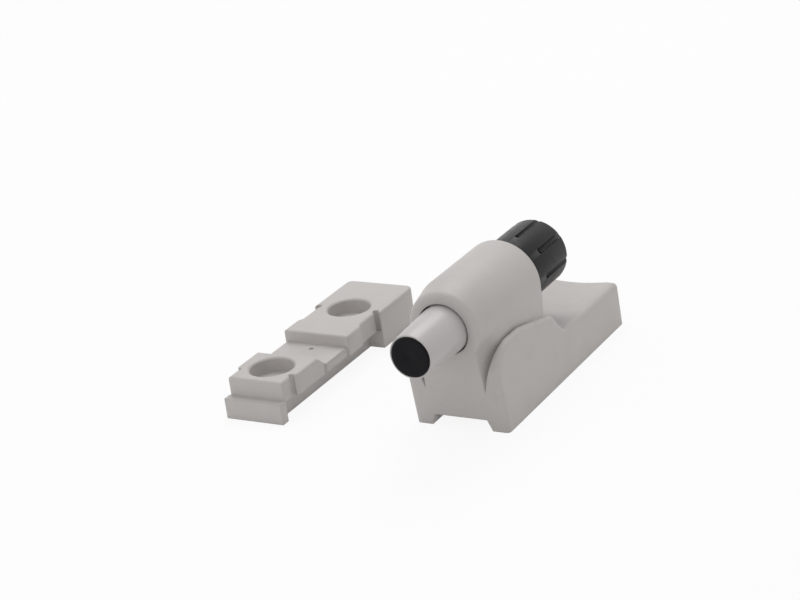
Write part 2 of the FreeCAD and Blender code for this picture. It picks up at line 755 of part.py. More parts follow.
def make_spring():
    """The return spring round the cylinder, and the ring that it pushes against."""
    body = new_piece("return_spring")
    wire_half = spring_wire / 2
    start = sleeve_rear + wire_half
    rise = (spring_length - spring_wire) / (SPRING_TURNS * SPRING_STEPS)
    sections = []
    for step in range(SPRING_TURNS * SPRING_STEPS + 1):
        section = outline_sketch(body, "wire_%d" % step, "YZ_Plane",
                                 six_corners(Size(0.0, "0"), spring_radius, wire_half))
        along = start + rise * step
        angle = 360.0 * step / SPRING_STEPS
        section.AttachmentOffset = Placement(Vector(along.value, 0, 0),
                                             Rotation(Vector(1, 0, 0), angle))
        section.setExpression(".AttachmentOffset.Base.x", along.text)
        sections.append(section)
    coil = body.newObject("PartDesign::AdditiveLoft", "coil")
    coil.Profile = sections[0]
    coil.Sections = sections[1:]
    coil.Ruled = True
    doc.recompute()
    turned_ring("spring_seat", spring_seat_front, gland_front, cylinder_radius + seat_gap,
                bore_radius - seat_gap)


def make_gland():
    """The gland behind the spring, whose stub carries the knob, with its two rings."""
    body = new_piece("rear_gland")
    inner = cylinder_radius + seat_gap
    spindle_bore = spindle_radius + running_gap
    ring_middle = tower_rear + friction_ring_place
    ring_front = ring_middle - seal_section - running_gap
    ring_rear = ring_middle + seal_section + running_gap
    groove = stub_radius - seal_section * 2
    clip_front = tower_rear + clip_place
    clip_groove = stub_radius - clip_groove_depth
    turn(body, "Revolution", "gland", [
        (gland_front, inner),
        (gland_front, bore_radius - seat_gap),
        (tower_rear, bore_radius - seat_gap),
        (tower_rear, stub_radius),
        (ring_front, stub_radius),
        (ring_front, groove),
        (ring_rear, groove),
        (ring_rear, stub_radius),
        (clip_front, stub_radius),
        (clip_front, clip_groove),
        (clip_front + clip_thickness, clip_groove),
        (clip_front + clip_thickness, stub_radius),
        (stub_rear, stub_radius),
        (stub_rear, spindle_bore),
        (cylinder_rear + seat_gap, spindle_bore),
        (cylinder_rear + seat_gap, inner),
    ])
    seal_ring("knob_friction_ring", ring_middle, stub_radius - seal_section)
    turned_ring("retaining_clip", clip_front, clip_front + clip_thickness, clip_groove,
                clip_radius)


def make_knob():
    """The fluted knob, its end cap, and the spindle that it turns."""
    body = new_piece("adjuster_knob")
    bearing_rear = knob_front + knob_bearing_length
    cap_front = knob_rear - knob_cap_length
    hub_front = cap_front - knob_hub_length
    cap_radius = knob_cavity_radius
    rounded = []
    for step in range(KNOB_EDGE_STEPS + 1):
        angle = math.radians(90 * step / KNOB_EDGE_STEPS)
        rounded.append((knob_rear - knob_edge * round(1 - math.sin(angle), 4),
                        knob_radius - knob_edge * round(1 - math.cos(angle), 4)))
    turn(body, "Revolution", "knob", [
        (knob_front, stub_radius + running_gap),
        (knob_front, knob_radius),
        *rounded,
        (knob_rear, cap_radius),
        (cap_front, cap_radius),
        (cap_front, spindle_radius),
        (hub_front, spindle_radius),
        (hub_front, knob_cavity_radius),
        (bearing_rear, knob_cavity_radius),
        (bearing_rear, stub_radius + running_gap),
    ])
    flute = new_sketch(body, "flute_section", "XZ_Plane", -knob_rear)
    add_circle(flute, 0.0, knob_radius + flute_proud, flute_radius)
    groove = extrude(body, "Pocket", "flute", flute, knob_length - flute_start, backward=True)
    ring = body.newObject("PartDesign::PolarPattern", "flutes")
    ring.Originals = [groove]
    ring.Axis = (origin_feature(body, "Y_Axis"), [""])
    ring.Angle = 360
    ring.Occurrences = FLUTE_COUNT
    body.Tip = ring
    body.Placement.Rotation = Rotation(Vector(0, 1, 0), flute_phase.value)
    body.setExpression(".Placement.Rotation.Angle", flute_phase.text + " * 1 deg")
    doc.recompute()

    turned_ring("knob_end_cap", cap_front, knob_rear, spindle_radius / 2, cap_radius - seat_gap)

    spindle = new_piece("metering_spindle")
    seal_middle = cylinder_rear + free_gap * 2 + seal_section
    seal_front = seal_middle - seal_section - running_gap
    seal_rear = seal_middle + seal_section + running_gap
    seal_groove = spindle_radius - seal_section * 2
    turn(spindle, "Revolution", "spindle", [
        (plug_front + free_gap, Size(0.0, "0")),
        (plug_front + free_gap, spindle_radius / 2),
        (plug_front + free_gap + spindle_radius, spindle_radius),
        (seal_front, spindle_radius),
        (seal_front, seal_groove),
        (seal_rear, seal_groove),
        (seal_rear, spindle_radius),
        (cap_front, spindle_radius),
        (cap_front, Size(0.0, "0")),
    ])
    seal_ring("spindle_seal", seal_middle, spindle_radius - seal_section)


def export_pieces():
    """Checks every object, then writes each piece under its own name."""
    for thing in doc.Objects:
        if "Invalid" in thing.State or "Error" in thing.State:
            raise RuntimeError(thing.Name + " has failed: " + str(thing.State))
    pieces = doc.findObjects("PartDesign::Body")
    for body in pieces:
        shape = body.Shape
        if shape.isNull() or not shape.isValid() or len(shape.Solids) != 1:
            raise RuntimeError(body.Label + " is not one valid solid")
        shape.exportStep("parts/" + body.Label + ".step")
    print(len(pieces), "pieces")


make_housing()
make_base_plate()
make_nose()
make_cylinder()
make_piston()
make_spring()
make_gland()
make_knob()
doc.recompute()
export_pieces()
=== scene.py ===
import math

import bpy
from mathutils import Matrix, Vector


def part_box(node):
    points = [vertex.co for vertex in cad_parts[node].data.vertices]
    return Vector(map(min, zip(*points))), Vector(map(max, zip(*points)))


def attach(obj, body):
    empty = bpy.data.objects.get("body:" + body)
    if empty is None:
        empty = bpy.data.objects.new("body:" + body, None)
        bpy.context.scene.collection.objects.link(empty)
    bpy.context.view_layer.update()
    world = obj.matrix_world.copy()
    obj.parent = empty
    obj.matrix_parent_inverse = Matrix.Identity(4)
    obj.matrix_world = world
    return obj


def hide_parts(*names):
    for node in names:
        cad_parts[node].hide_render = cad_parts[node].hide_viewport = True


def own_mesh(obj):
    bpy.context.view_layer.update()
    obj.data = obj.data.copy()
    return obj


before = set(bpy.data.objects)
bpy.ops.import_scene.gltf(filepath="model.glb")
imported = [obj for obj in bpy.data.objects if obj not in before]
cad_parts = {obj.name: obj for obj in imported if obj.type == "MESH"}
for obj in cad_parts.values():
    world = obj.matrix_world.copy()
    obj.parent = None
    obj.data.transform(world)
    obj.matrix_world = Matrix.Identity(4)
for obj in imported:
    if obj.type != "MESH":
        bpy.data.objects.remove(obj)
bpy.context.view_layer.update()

# Soft close damper with its base plate. The scene is in metres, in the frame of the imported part:
# X across, Y along the damper from its nose to its knob, Z up. Unless a comment says otherwise,
# the sizes named below are in millimetres, and places along Y are measured from the front edge of
# the housing's feet.

MM = 0.001

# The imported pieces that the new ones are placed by.
SLEEVE_LOW, SLEEVE_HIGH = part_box("nose_sleeve")
SPRING_LOW, SPRING_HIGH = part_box("return_spring")
KNOB_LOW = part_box("adjuster_knob")[0]
PLATE_LOW, PLATE_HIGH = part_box("base_plate")
AXIS_X = (SLEEVE_LOW.x + SLEEVE_HIGH.x) / 2
AXIS_Z = (SLEEVE_LOW.z + SLEEVE_HIGH.z) / 2
AXIS_POINT = Vector((AXIS_X, 0.0, AXIS_Z))
PLATE_X = (PLATE_LOW.x + PLATE_HIGH.x) / 2
PLATE_MIDDLE_Y = (PLATE_LOW.y + PLATE_HIGH.y) / 2

# How finely a turned piece is divided, and the steepest fold, in degrees, that is shaded smooth.
ROUND_SIDES = 96
SMOOTH_DEGREES = 32
PAD_SMOOTH_DEGREES = 40
WIRE_SMOOTH_DEGREES = 50

# Points closer than this become one, and folds flatter than this, in degrees, are taken out.
TURNED_MERGE = 0.0001
PACKED_MERGE = 0.002
FLAT_DEGREES = 0.6

# Nose sleeve and the rubber pad in its tip.
SLEEVE_TIP = -16.0
SLEEVE_TIP_RADIUS = 4.55
SLEEVE_CONE_REAR = -3.0
SLEEVE_RADIUS = 5.2
COLLAR_FRONT = 3.0
COLLAR_RADIUS = 5.7
SLEEVE_REAR = 4.2
SLEEVE_BORE = 3.8
SLEEVE_FLOOR = -12.2
ROD_SEAT = -13.2
ROD_SEAT_RADIUS = 0.9
PAD_SEAT = -13.7
PAD_POCKET_RADIUS = 4.17
PAD_RADIUS = 4.15
PAD_CROWN = [(-16.05, PAD_RADIUS), (-16.27, 4.05), (-16.4, 3.8), (-16.4, 3.3), (-16.34, 2.2),
             (-16.31, 0.6), (-16.2, 0.45)]

# Knob, its flutes and its end cap. The flutes' turn is in degrees.
KNOB_FRONT = 23.8
FEET_FRONT = KNOB_LOW.y - KNOB_FRONT * MM
KNOB_REAR = 40.0
KNOB_RADIUS = 7.15
KNOB_BORE = 4.65
KNOB_FRONT_BREAK = 0.15
KNOB_EDGE = 1.3
KNOB_EDGE_STEPS = 6
KNOB_HOLLOW_RADIUS = 5.6
KNOB_HOLLOW_FRONT = 29.2
HUB_FRONT = 36.1
HUB_HOLE = 1.2
CAP_SEAT = 38.3
CAP_RADIUS = 5.58
CAP_HOLE = 0.6
CAP_BREAK = 0.15
CAP_FACE = [(KNOB_REAR, CAP_RADIUS - CAP_BREAK), (KNOB_REAR, 4.7), (39.55, 4.45), (39.55, 1.5),
            (39.8, 1.3), (39.8, CAP_HOLE)]
FLUTE_COUNT = 8
FLUTE_TURN = 9.5
FLUTE_RADIUS = 0.6
FLUTE_OUT = 7.22
FLUTE_START = 29.8
FLUTE_LENGTH = 11.0
FLUTE_SIDES = 20
PIT_RADIUS = 0.7
PIT_OUT = 6.9
PIT_RINGS = 12

# Return spring.
SPRING_WIRE = 0.45
SPRING_RADIUS = 4.7
SPRING_TURNS = 8
WIRE_SIDES = 12
STEPS_A_TURN = 28

# Counterbores of the plate: their depth, and how far their floors are lowered.
COUNTERBORE_DEPTH = 2.8
COUNTERBORE_SINK = 0.4
SAME_HEIGHT = 0.01

# Moulding marks. The housing's ejector pins are (across from the axis, place along Y). The
# plate's pins are measured from its middle and its ends.
HOUSING_PINS = [(-4.5, 40.0), (4.5, 40.0), (-4.5, 51.5), (4.5, 51.5), (0.0, 27.0)]
PLATE_PIN_FRONT = 3.6
PLATE_PIN_REAR = 6.0
PLATE_PIN_ACROSS = 5.0
EJECTOR_RADIUS = 1.3
EJECTOR_LINE = 0.08
EJECTOR_RELIEF = -0.03
SEAM_WIDTH = 0.07
SEAM_RELIEF = 0.02

# Edges tinted paler all round, partly as rubbed wear and partly as a painted highlight: how much
# paler they are than the piece.
EDGE_WEAR_AND_HIGHLIGHT_PALER = 1.25

# Cells of the foam in a metre.
FOAM_CELLS = 4200.0

# Where the camera looks from and how far it leans, in degrees, and what it looks at, in metres.
CAMERA_AZIMUTH = 32.2
CAMERA_ELEVATION = 21.8
CAMERA_LEAN = 7.9
CAMERA_DISTANCE = 0.4526
CAMERA_ACROSS = -0.00255
CAMERA_UP = 0.0171
CAMERA_SHIFT = Vector((0.0015, -0.0005, 0.0))
LENS_MM = 96.26
SENSOR_MM = 36.0

# Floor and light: how wide the floor is, the share of it that shows plain white, the strength of
# the light all round, where the lamps hang and what they are aimed at. Places are in metres.
FLOOR_SIZE = 8.0
FLOOR_WHITE = 0.9
WORLD_LIGHT = 0.56
REAR_LIGHT_PLACE = (-0.08, 0.28, 0.56)
FRONT_FILL_PLACE = (-0.3, -0.6, 0.35)
LIGHT_AIM = Vector((0.0, 0.0, 0.01))


# Modelling by hand: what every piece uses.

def pick_nothing():
    bpy.ops.object.select_all(action="DESELECT")


def take(piece):
    """Makes one piece the only one that the next operators act on."""
    pick_nothing()
    piece.select_set(True)
    bpy.context.view_layer.objects.active = piece


def set_down(piece):
    """Puts the piece's place into its mesh, so that its object sits at the origin."""
    take(piece)
    bpy.ops.object.transform_apply(location=True, rotation=True, scale=True)


def finish_with(piece, kind, **settings):
    """Adds one modifier and applies it."""
    take(piece)
    modifier = piece.modifiers.new(kind.lower(), kind)
    for name, value in settings.items():
        setattr(modifier, name, value)
    bpy.ops.object.modifier_apply(modifier=modifier.name)


def soften(piece, width, segments=2, over=35):
    """Breaks the sharp edges, as a mould does."""
    finish_with(piece, "BEVEL", width=width * MM, segments=segments, limit_method="ANGLE",
                angle_limit=math.radians(over), harden_normals=False, use_clamp_overlap=True)


def smooth_by(piece, degrees=SMOOTH_DEGREES):
    take(piece)
    bpy.ops.object.shade_smooth_by_angle(angle=math.radians(degrees))


def face_outward(piece):
    take(piece)
    bpy.ops.object.mode_set(mode="EDIT")
    bpy.ops.mesh.select_all(action="SELECT")
    bpy.ops.mesh.remove_doubles(threshold=TURNED_MERGE * MM)
    bpy.ops.mesh.normals_make_consistent(inside=False)
    bpy.ops.object.mode_set(mode="OBJECT")


def at(place):
    """A place along the damper, from millimetres behind the front edge of the housing's feet."""
    return FEET_FRONT + place * MM


def turn_on_lathe(name, steps, hollow=False):
    """Turns a piece about the damper's axis: a disc is drawn out step by step.
    Each step is (place along Y, radius)."""
    place, radius = steps[0]
    pick_nothing()
    bpy.ops.mesh.primitive_circle_add(
        vertices=ROUND_SIDES, radius=radius * MM, fill_type="NGON",
        location=(AXIS_X, at(place), AXIS_Z), rotation=(math.pi / 2, 0, 0))
    piece = bpy.context.object
    piece.name = name
    piece.data.name = name
    set_down(piece)
    bpy.ops.object.mode_set(mode="EDIT")
    bpy.ops.mesh.select_all(action="SELECT")
    for next_place, next_radius in steps[1:]:
        bpy.ops.mesh.extrude_region_move(
            TRANSFORM_OT_translate={"value": (0, (next_place - place) * MM, 0)})
        if next_radius != radius:
            grow = next_radius / radius
            bpy.ops.transform.resize(value=(grow, 1, grow),
                                     center_override=(AXIS_X, at(next_place), AXIS_Z))
        place, radius = next_place, next_radius
    bpy.ops.object.mode_set(mode="OBJECT")
    if hollow:
        join_rims(piece)
    face_outward(piece)
    return piece


def join_rims(piece):
    """Takes the first and the last disc out of a turned ring and joins their rims."""
    take(piece)
    bpy.ops.object.mode_set(mode="EDIT")
    bpy.ops.mesh.select_all(action="DESELECT")
    bpy.ops.object.mode_set(mode="OBJECT")
    for face in piece.data.polygons:
        face.select = len(face.vertices) == ROUND_SIDES
    bpy.ops.object.mode_set(mode="EDIT")
    bpy.ops.mesh.delete(type="ONLY_FACE")
    bpy.ops.mesh.select_all(action="DESELECT")
    bpy.ops.mesh.select_mode(type="EDGE")
    bpy.ops.mesh.select_non_manifold()
    bpy.ops.mesh.bridge_edge_loops()
    bpy.ops.mesh.select_mode(type="VERT")
    bpy.ops.object.mode_set(mode="OBJECT")


def refine(name, node):
    """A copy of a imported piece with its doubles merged, so that its edges can be broken."""
    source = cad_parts[node]
    piece = source.copy()
    piece.data = source.data.copy()
    for key in list(piece.keys()):
        if key.startswith("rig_"):
            del piece[key]
    piece.parent = None
    piece.name = name
    piece.data.name = name
    bpy.context.scene.collection.objects.link(piece)
    take(piece)
    if piece.data.has_custom_normals:
        bpy.ops.mesh.customdata_custom_splitnormals_clear()
    bpy.ops.object.mode_set(mode="EDIT")
    bpy.ops.mesh.select_all(action="SELECT")
    bpy.ops.mesh.remove_doubles(threshold=PACKED_MERGE * MM)
    bpy.ops.mesh.dissolve_limited(angle_limit=math.radians(FLAT_DEGREES))
    bpy.ops.object.mode_set(mode="OBJECT")
    return piece


# Finishes. Each is built from nodes that read the piece's own place, so that a pattern stays
# where it is moulded.

def shade(colour, factor):
    return tuple(min(1.0, channel * factor) for channel in colour) + (1.0,)


class Finish:
    """One material, with the nodes that its surface detail is laid on. Sizes are in millimetres."""

    def __init__(self, name, colour, roughness):
        self.material = bpy.data.materials.new(name)
        self.material.use_nodes = True
        self.nodes = self.material.node_tree.nodes
        self.links = self.material.node_tree.links
        self.surface = self.nodes["Principled BSDF"]
        self.colour = colour
        self.roughness = roughness
        self.set("Base Color", shade(colour, 1.0))
        self.set("Roughness", roughness)
        self.place = self.nodes.new("ShaderNodeTexCoord").outputs["Object"]
        self.normal = None

    def set(self, socket, value):
        """Sets what is the same all over the surface."""
        self.surface.inputs[socket].default_value = value

    def node(self, kind, **settings):
        node = self.nodes.new(kind)
        for name, value in settings.items():
            setattr(node, name, value)
        return node

    def stretched(self, scale):
        """The place with one direction stretched out, for lines that run that way."""
        mapping = self.node("ShaderNodeMapping")
        self.links.new(self.place, mapping.inputs["Vector"])
        mapping.inputs["Scale"].default_value = scale
        return mapping.outputs["Vector"]

    def noise(self, size, detail=3.0, place=None):
        noise = self.node("ShaderNodeTexNoise")
        self.links.new(place or self.place, noise.inputs["Vector"])
        noise.inputs["Scale"].default_value = 1.0 / (size * MM)
        noise.inputs["Detail"].default_value = detail
        return noise.outputs["Fac"]

    def between(self, value, low, high, start=0.3, end=0.7):
        """Spreads what lies from start to end over low to high."""
        spread = self.node("ShaderNodeMapRange")
        self.links.new(value, spread.inputs["Value"])
        spread.inputs["From Min"].default_value = start
        spread.inputs["From Max"].default_value = end
        spread.inputs["To Min"].default_value = low
        spread.inputs["To Max"].default_value = high
        return spread.outputs["Result"]

    def calculate(self, operation, first, second=None):
        step = self.node("ShaderNodeMath", operation=operation)
        for socket, value in zip(step.inputs, (first, second)):
            if value is None:
                continue
            if isinstance(value, (int, float)):
                socket.default_value = value
            else:
                self.links.new(value, socket)
        return step.outputs["Value"]

    def split(self, vector, axis):
        """One coordinate of a place or a direction."""
        parts = self.node("ShaderNodeSeparateXYZ")
        self.links.new(vector, parts.inputs["Vector"])
        return parts.outputs[axis]

    def tint(self, factor, colour):
        """Lays a colour over what the base colour is so far."""
        mix = self.node("ShaderNodeMix", data_type="RGBA")
        base = self.surface.inputs["Base Color"]
        if base.is_linked:
            self.links.new(base.links[0].from_socket, mix.inputs["A"])
        else:
            mix.inputs["A"].default_value = tuple(base.default_value)
        mix.inputs["B"].default_value = colour
        self.links.new(factor, mix.inputs["Factor"])
        self.links.new(mix.outputs["Result"], base)

    def mottle(self, size, darker, lighter):
        """Slow changes of tone, from uneven cooling in the mould or from handling."""
        noise = self.noise(size, detail=4.0)
        self.tint(self.between(noise, 0.0, 1.0, start=0.38, end=0.28),
                  shade(self.colour, darker))
        self.tint(self.between(noise, 0.0, 1.0, start=0.6, end=0.72),
                  shade(self.colour, lighter))

    def specks(self, size, factor, share):
        """Small specks of pigment or dust."""
        self.tint(self.between(self.noise(size, detail=2.0), 0.0, 1.0, share, share + 0.1),
                  shade(self.colour, factor))

    def uneven_gloss(self, size, spread):
        self.links.new(
            self.between(self.noise(size, detail=5.0),
                         self.roughness - spread, self.roughness + spread),
            self.surface.inputs["Roughness"])

    def relief(self, height, depth):
        """Raises or sinks the surface by a height from 0 to 1."""
        bump = self.node("ShaderNodeBump")
        bump.inputs["Strength"].default_value = 1.0
        bump.inputs["Distance"].default_value = depth * MM
        self.links.new(height, bump.inputs["Height"])
        if self.normal is not None:
            self.links.new(self.normal, bump.inputs["Normal"])
        self.normal = bump.outputs["Normal"]
        self.links.new(self.normal, self.surface.inputs["Normal"])

    def soft_edges(self, radius, rub_and_highlight=0.0):
        """Rounds the look of the edges, and tints them a little paler: partly rubbed wear, partly a
        painted highlight.
        """
        rounded = self.node("ShaderNodeBevel", samples=4)
        rounded.inputs["Radius"].default_value = radius * MM
        self.normal = rounded.outputs["Normal"]
        self.links.new(self.normal, self.surface.inputs["Normal"])
        if rub_and_highlight:
            flat = self.node("ShaderNodeNewGeometry").outputs["Normal"]
            match = self.node("ShaderNodeVectorMath", operation="DOT_PRODUCT")
            self.links.new(rounded.outputs["Normal"], match.inputs[0])
            self.links.new(flat, match.inputs[1])
            # Painted highlight and rubbed wear: the edges are tinted paler all round, whatever the
            # light.
            self.tint(self.between(match.outputs["Value"], 0.0, rub_and_highlight, start=0.99, end=0.85),
                      shade(self.colour, EDGE_WEAR_AND_HIGHLIGHT_PALER))


def moulded_grey(name, colour, roughness):
    """Light grey acetal with a fine spark-eroded skin."""
    finish = Finish(name, colour, roughness)
    # The paler rim on the edges is partly rubbed wear and partly a painted highlight.
    finish.soft_edges(0.36, rub_and_highlight=0.25)
    finish.mottle(9.0, darker=0.955, lighter=1.03)
    finish.specks(0.55, factor=0.93, share=0.66)
    finish.uneven_gloss(3.0, spread=0.06)
    finish.relief(finish.noise(0.22, detail=2.0), 0.012)
    finish.relief(finish.noise(6.0, detail=2.0), 0.05)
    return finish


def glossy_sleeve():
    """Smoother acetal that slides, with faint drawing lines along it."""
    finish = Finish("sleeve_acetal", (0.535, 0.515, 0.508), 0.34)
    finish.soft_edges(0.12, rub_and_highlight=0.25)
    finish.mottle(6.0, darker=0.98, lighter=1.015)
    finish.specks(0.5, factor=0.97, share=0.68)
    finish.uneven_gloss(2.4, spread=0.04)
    lines = finish.noise(0.35, detail=1.0, place=finish.stretched((1.0, 0.02, 1.0)))
    finish.relief(lines, 0.0015)
    finish.set("Coat Weight", 0.12)
    finish.set("Coat Roughness", 0.25)
    return finish


def black_rubber(name):
    finish = Finish(name, (0.009, 0.009, 0.0105), 0.58)
    finish.set("Specular IOR Level", 0.1)
    finish.soft_edges(0.1)
    finish.mottle(3.5, darker=0.8, lighter=1.2)
    finish.specks(0.4, factor=1.5, share=0.67)
    finish.uneven_gloss(1.2, spread=0.08)
    finish.relief(finish.noise(0.4), 0.01)
    return finish


def knob_black(name):
    """Black glass-filled nylon: satin, with edges tinted paler, partly as rubbed wear and partly as
    a painted highlight.
    """
    finish = Finish(name, (0.0115, 0.011, 0.013), 0.34)
    finish.set("Specular IOR Level", 0.18)
    # The paler edges are partly rubbed wear and partly a painted highlight.
    finish.soft_edges(0.16, rub_and_highlight=0.5)
    finish.mottle(4.0, darker=0.85, lighter=1.15)
    finish.specks(0.35, factor=1.4, share=0.68)
    finish.uneven_gloss(1.5, spread=0.08)
    finish.relief(finish.noise(0.3), 0.01)
    return finish


def turned_metal(name, colour, roughness):
    """Metal with fine rings from turning, which run round the axis."""
    finish = Finish(name, colour, roughness)
    finish.set("Metallic", 1.0)
    finish.soft_edges(0.08, rub_and_highlight=0.4)
    finish.mottle(2.0, darker=0.88, lighter=1.08)
    finish.uneven_gloss(0.8, spread=0.08)
    rings = finish.noise(0.12, detail=2.0, place=finish.stretched((0.05, 1.0, 0.05)))
    finish.relief(rings, 0.006)
    return finish


def inner_plastic(name, colour, roughness):
    finish = Finish(name, colour, roughness)
    finish.soft_edges(0.1, rub_and_highlight=0.3)
    finish.mottle(3.0, darker=0.93, lighter=1.05)
    finish.specks(0.3, factor=0.9, share=0.68)
    finish.uneven_gloss(1.2, spread=0.08)
    finish.relief(finish.noise(0.2, detail=2.0), 0.008)
    return finish


def closed_foam():
    """Grey foam with small closed cells."""
    finish = Finish("foam_grey", (0.19, 0.19, 0.205), 0.9)
    finish.mottle(1.5, darker=0.75, lighter=1.2)
    cells = finish.node("ShaderNodeTexVoronoi")
    finish.links.new(finish.place, cells.inputs["Vector"])
    cells.inputs["Scale"].default_value = FOAM_CELLS
    finish.uneven_gloss(0.6, spread=0.06)
    finish.relief(cells.outputs["Distance"], 0.08)
    return finish


def seam_line(finish):
    """The mould's parting line, along the middle of the damper."""
    across = finish.calculate("SUBTRACT", finish.split(finish.place, "X"), AXIS_X)
    from_middle = finish.calculate("ABSOLUTE", across)
    line = finish.between(from_middle, 1.0, 0.0, start=0.0, end=SEAM_WIDTH * MM)
    finish.relief(line, SEAM_RELIEF)


def ejector_marks(finish, places):
    """Rings that the mould's ejector pins leave on faces that look down, each about (x, y)."""
    for x, y in places:
        across = finish.calculate("SUBTRACT", finish.split(finish.place, "X"), x)
        along = finish.calculate("SUBTRACT", finish.split(finish.place, "Y"), y)
        square = finish.calculate("ADD", finish.calculate("MULTIPLY", across, across),
                                  finish.calculate("MULTIPLY", along, along))
        distance = finish.calculate("SQRT", square)
        from_rim = finish.calculate(
            "ABSOLUTE", finish.calculate("SUBTRACT", distance, EJECTOR_RADIUS * MM))
        rim = finish.between(from_rim, 1.0, 0.0, start=0.0, end=EJECTOR_LINE * MM)
        facing = finish.node("ShaderNodeNewGeometry").outputs["Normal"]
        below = finish.between(finish.split(facing, "Z"), 1.0, 0.0, start=-0.95, end=-0.8)
        finish.relief(finish.calculate("MULTIPLY", rim, below), EJECTOR_RELIEF)


def dress_nodes(finish, *names):
    for name in names:
        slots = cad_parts[name].data.materials
        slots.clear()
        slots.append(finish.material)


def dress_piece(piece, finish, slot, body, *nodes):
    piece.data.materials.clear()
    piece.data.materials.append(finish.material)
    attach(piece, body)
    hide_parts(*nodes)


# The pieces.

def make_housing():
    shell = refine("housing_shell", "housing")
    soften(shell, 0.2)
    smooth_by(shell)
    finish = moulded_grey("housing_acetal", (0.53, 0.505, 0.49), 0.47)
    seam_line(finish)
    ejector_marks(finish, [(AXIS_X + across * MM, at(place)) for across, place in HOUSING_PINS])
    dress_piece(shell, finish, "housing_grey", "body", "housing")


def sink_floors(shell):
    """Lowers the counterbores' floors a touch, so that the near rims hide the screw holes."""
    floor = PLATE_HIGH.z - COUNTERBORE_DEPTH * MM
    take(shell)
    bpy.ops.object.mode_set(mode="EDIT")
    bpy.ops.mesh.select_mode(type="VERT")
    bpy.ops.mesh.select_all(action="DESELECT")
    bpy.ops.object.mode_set(mode="OBJECT")
    for vertex in shell.data.vertices:
        vertex.select = abs(vertex.co.z - floor) < SAME_HEIGHT * MM
    bpy.ops.object.mode_set(mode="EDIT")
    bpy.ops.transform.translate(value=(0, 0, -COUNTERBORE_SINK * MM))
    bpy.ops.object.mode_set(mode="OBJECT")


def make_plate():
    shell = refine("plate_shell", "base_plate")
    sink_floors(shell)
    soften(shell, 0.16)
    smooth_by(shell)
    finish = moulded_grey("plate_acetal", (0.545, 0.52, 0.505), 0.48)
    front = PLATE_LOW.y + PLATE_PIN_FRONT * MM
    rear = PLATE_HIGH.y - PLATE_PIN_REAR * MM
    ejector_marks(finish, [(PLATE_X, PLATE_MIDDLE_Y), (PLATE_X, front),
                           (PLATE_X - PLATE_PIN_ACROSS * MM, rear),
                           (PLATE_X + PLATE_PIN_ACROSS * MM, rear)])
    dress_piece(shell, finish, "plate_grey", "body", "base_plate")


def make_nose():
    sleeve = turn_on_lathe("nose_shell", [
        (PAD_SEAT, PAD_POCKET_RADIUS), (SLEEVE_TIP, PAD_POCKET_RADIUS),
        (SLEEVE_TIP, SLEEVE_TIP_RADIUS), (SLEEVE_CONE_REAR, SLEEVE_RADIUS),
        (COLLAR_FRONT, SLEEVE_RADIUS), (COLLAR_FRONT, COLLAR_RADIUS),
        (SLEEVE_REAR, COLLAR_RADIUS), (SLEEVE_REAR, SLEEVE_BORE), (SLEEVE_FLOOR, SLEEVE_BORE),
        (SLEEVE_FLOOR, ROD_SEAT_RADIUS), (ROD_SEAT, ROD_SEAT_RADIUS)])
    soften(sleeve, 0.14, segments=3)
    smooth_by(sleeve)
    dress_piece(sleeve, glossy_sleeve(), "sleeve_grey", "plunger", "nose_sleeve")

    pad = turn_on_lathe("bumper_pad", [(PAD_SEAT, PAD_RADIUS), *PAD_CROWN])
    smooth_by(pad, PAD_SMOOTH_DEGREES)
    dress_piece(pad, black_rubber("bumper_rubber"), "bumper_rubber", "plunger", "rubber_bumper")


def knob_rear_edge():
    """The steps of the knob's rounded rear edge."""
    steps = []
    for step in range(KNOB_EDGE_STEPS + 1):
        angle = math.pi / 2 * step / KNOB_EDGE_STEPS
        steps.append((KNOB_REAR - KNOB_EDGE * (1 - math.sin(angle)),
                      KNOB_RADIUS - KNOB_EDGE * (1 - math.cos(angle))))
    return steps


def make_knob():
    knob = turn_on_lathe("knob_shell", [
        (KNOB_FRONT, KNOB_BORE), (KNOB_FRONT, KNOB_RADIUS - KNOB_FRONT_BREAK),
        (KNOB_FRONT + KNOB_FRONT_BREAK, KNOB_RADIUS), *knob_rear_edge(),
        (KNOB_REAR, KNOB_HOLLOW_RADIUS), (CAP_SEAT, KNOB_HOLLOW_RADIUS), (CAP_SEAT, HUB_HOLE),
        (HUB_FRONT, HUB_HOLE), (HUB_FRONT, KNOB_HOLLOW_RADIUS),
        (KNOB_HOLLOW_FRONT, KNOB_HOLLOW_RADIUS), (KNOB_HOLLOW_FRONT, KNOB_BORE)], hollow=True)
    cutters = make_flute_cutters()
    finish_with(knob, "BOOLEAN", operation="DIFFERENCE", object=cutters, solver="EXACT")
    bpy.data.objects.remove(cutters)
    soften(knob, 0.1, over=40)
    smooth_by(knob)
    dress_piece(knob, knob_black("knob_nylon"), "knob_black", "knob", "adjuster_knob")

    cap = turn_on_lathe("knob_cap", [
        (CAP_SEAT, CAP_HOLE), (CAP_SEAT, CAP_RADIUS), (KNOB_REAR - CAP_BREAK, CAP_RADIUS),
        *CAP_FACE], hollow=True)
    soften(cap, 0.08)
    smooth_by(cap)
    dress_piece(cap, knob_black("cap_nylon"), "knob_black", "knob", "knob_end_cap")


